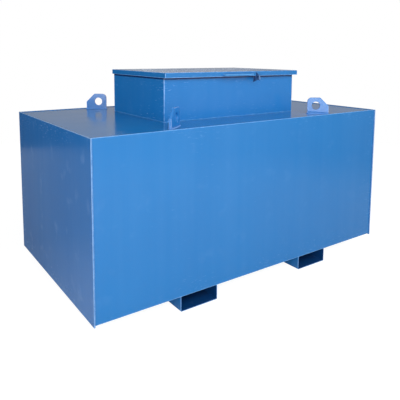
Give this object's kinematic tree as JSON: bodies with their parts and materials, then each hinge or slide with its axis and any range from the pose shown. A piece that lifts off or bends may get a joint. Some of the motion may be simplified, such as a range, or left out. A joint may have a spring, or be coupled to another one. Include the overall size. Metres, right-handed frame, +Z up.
{
  "type": "hydraulic reservoir",
  "caption": "Welded rectangular steel oil reservoir with a lockable service box on top, lifting lugs and fork pockets underneath.",
  "frame": {"origin": "on the ground, under the middle of the tank", "axes": "+Z up, +X along the tank, -Y towards the front where the lid opens"},
  "size_m": [2, 1.132, 1.195],
  "materials": {
    "blue_paint": "semi-gloss blue enamel",
    "zinc_steel": "zinc plated",
    "rubber": "matt black rubber",
    "black_plastic": "moulded black plastic",
    "cast_aluminium": "as cast",
    "dial_face": "printed dial",
    "clear_lens": "clear",
    "brass": "machined brass",
    "chrome_steel": "polished ball"
  },
  "bodies": {
    "reservoir": {"baffle_left": "blue_paint", "baffle_right": "blue_paint", "bottom_plate": "blue_paint", "box_padlock_ear": "blue_paint", "breather_filter": "black_plastic", "breather_pipe": "zinc_steel", "filler_neck": "zinc_steel", "filler_strainer": "zinc_steel", "fork_pocket_left": "blue_paint", "fork_pocket_right": "blue_paint", "front_plate": "blue_paint", "gauge_dial": "dial_face", "gauge_frame": "zinc_steel", "gauge_housing": "cast_aluminium", "gauge_lens": "clear_lens", "hinge_left_box_leaf": "blue_paint", "hinge_pins": "zinc_steel", "hinge_right_box_leaf": "blue_paint", "left_end_plate": "blue_paint", "lifting_lug_front_left": "blue_paint", "lifting_lug_front_right": "blue_paint", "lifting_lug_rear_left": "blue_paint", "lifting_lug_rear_right": "blue_paint", "manhole_bolts": "zinc_steel", "manhole_cover": "blue_paint", "manhole_gasket": "rubber", "manhole_ring": "blue_paint", "rear_plate": "blue_paint", "return_diffuser": "zinc_steel", "return_pipe": "zinc_steel", "return_plug": "brass", "return_valve_body": "brass", "right_end_plate": "blue_paint", "service_box_rear_wall": "blue_paint", "service_box_rim": "blue_paint", "service_box_wrap": "blue_paint", "suction_pipe": "zinc_steel", "suction_plug": "brass", "suction_strainer": "zinc_steel", "suction_valve_body": "brass", "top_plate": "blue_paint"},
    "lid": {"lid_panel": "blue_paint", "lid_gasket": "rubber", "lid_stiffeners": "blue_paint", "lid_handle": "blue_paint", "lid_padlock_ear": "blue_paint", "hinge_left_lid_leaf": "blue_paint", "hinge_right_lid_leaf": "blue_paint"},
    "filler_seal": {"filler_cap_seal": "rubber"},
    "filler_cap": {"filler_cap": "black_plastic"},
    "suction_lever": {"suction_valve_ball": "chrome_steel", "suction_valve_lever": "zinc_steel", "suction_valve_nut": "zinc_steel"},
    "return_lever": {"return_valve_ball": "chrome_steel", "return_valve_lever": "zinc_steel", "return_valve_nut": "zinc_steel"},
    "float_arm": {"float_arm": "zinc_steel", "float": "zinc_steel"},
    "gauge_pointer": {"gauge_pointer": "zinc_steel"}
  },
  "joints": [
    {"name": "lid_hinge", "type": "hinge", "parent": "reservoir", "child": "lid", "pos_m": [0, 0.319, 1.16], "axis": [-1, 0, 0], "range_deg": [0, 105]},
    {"name": "filler_cap_lift", "type": "slide", "parent": "reservoir", "child": "filler_seal", "axis": [0, 0, 1], "range_m": [0, 0.06]},
    {"name": "filler_cap_turn", "type": "hinge", "parent": "filler_seal", "child": "filler_cap", "pos_m": [0.11, -0.17, 1.01], "axis": [0, 0, 1], "continuous": true},
    {"name": "float_arm_swing", "type": "hinge", "parent": "reservoir", "child": "float_arm", "pos_m": [0.05, 0.02, 0.5], "axis": [1, 0, 0], "range_deg": [0, 110]},
    {"name": "gauge_pointer_turn", "type": "hinge", "parent": "reservoir", "child": "gauge_pointer", "pos_m": [0.05, 0.02, 0.93], "axis": [0, 0, 1], "range_deg": [-220, 0]},
    {"name": "suction_valve_turn", "type": "hinge", "parent": "reservoir", "child": "suction_lever", "pos_m": [0.23, 0.005, 1.02], "axis": [0, 0, 1], "range_deg": [0, 90]},
    {"name": "return_valve_turn", "type": "hinge", "parent": "reservoir", "child": "return_lever", "pos_m": [0.4, 0.005, 1.02], "axis": [0, 0, 1], "range_deg": [0, 90]}
  ],
  "couplings": [
    {"joint": "gauge_pointer_turn", "follows": "float_arm_swing", "ratio": -2}
  ]
}
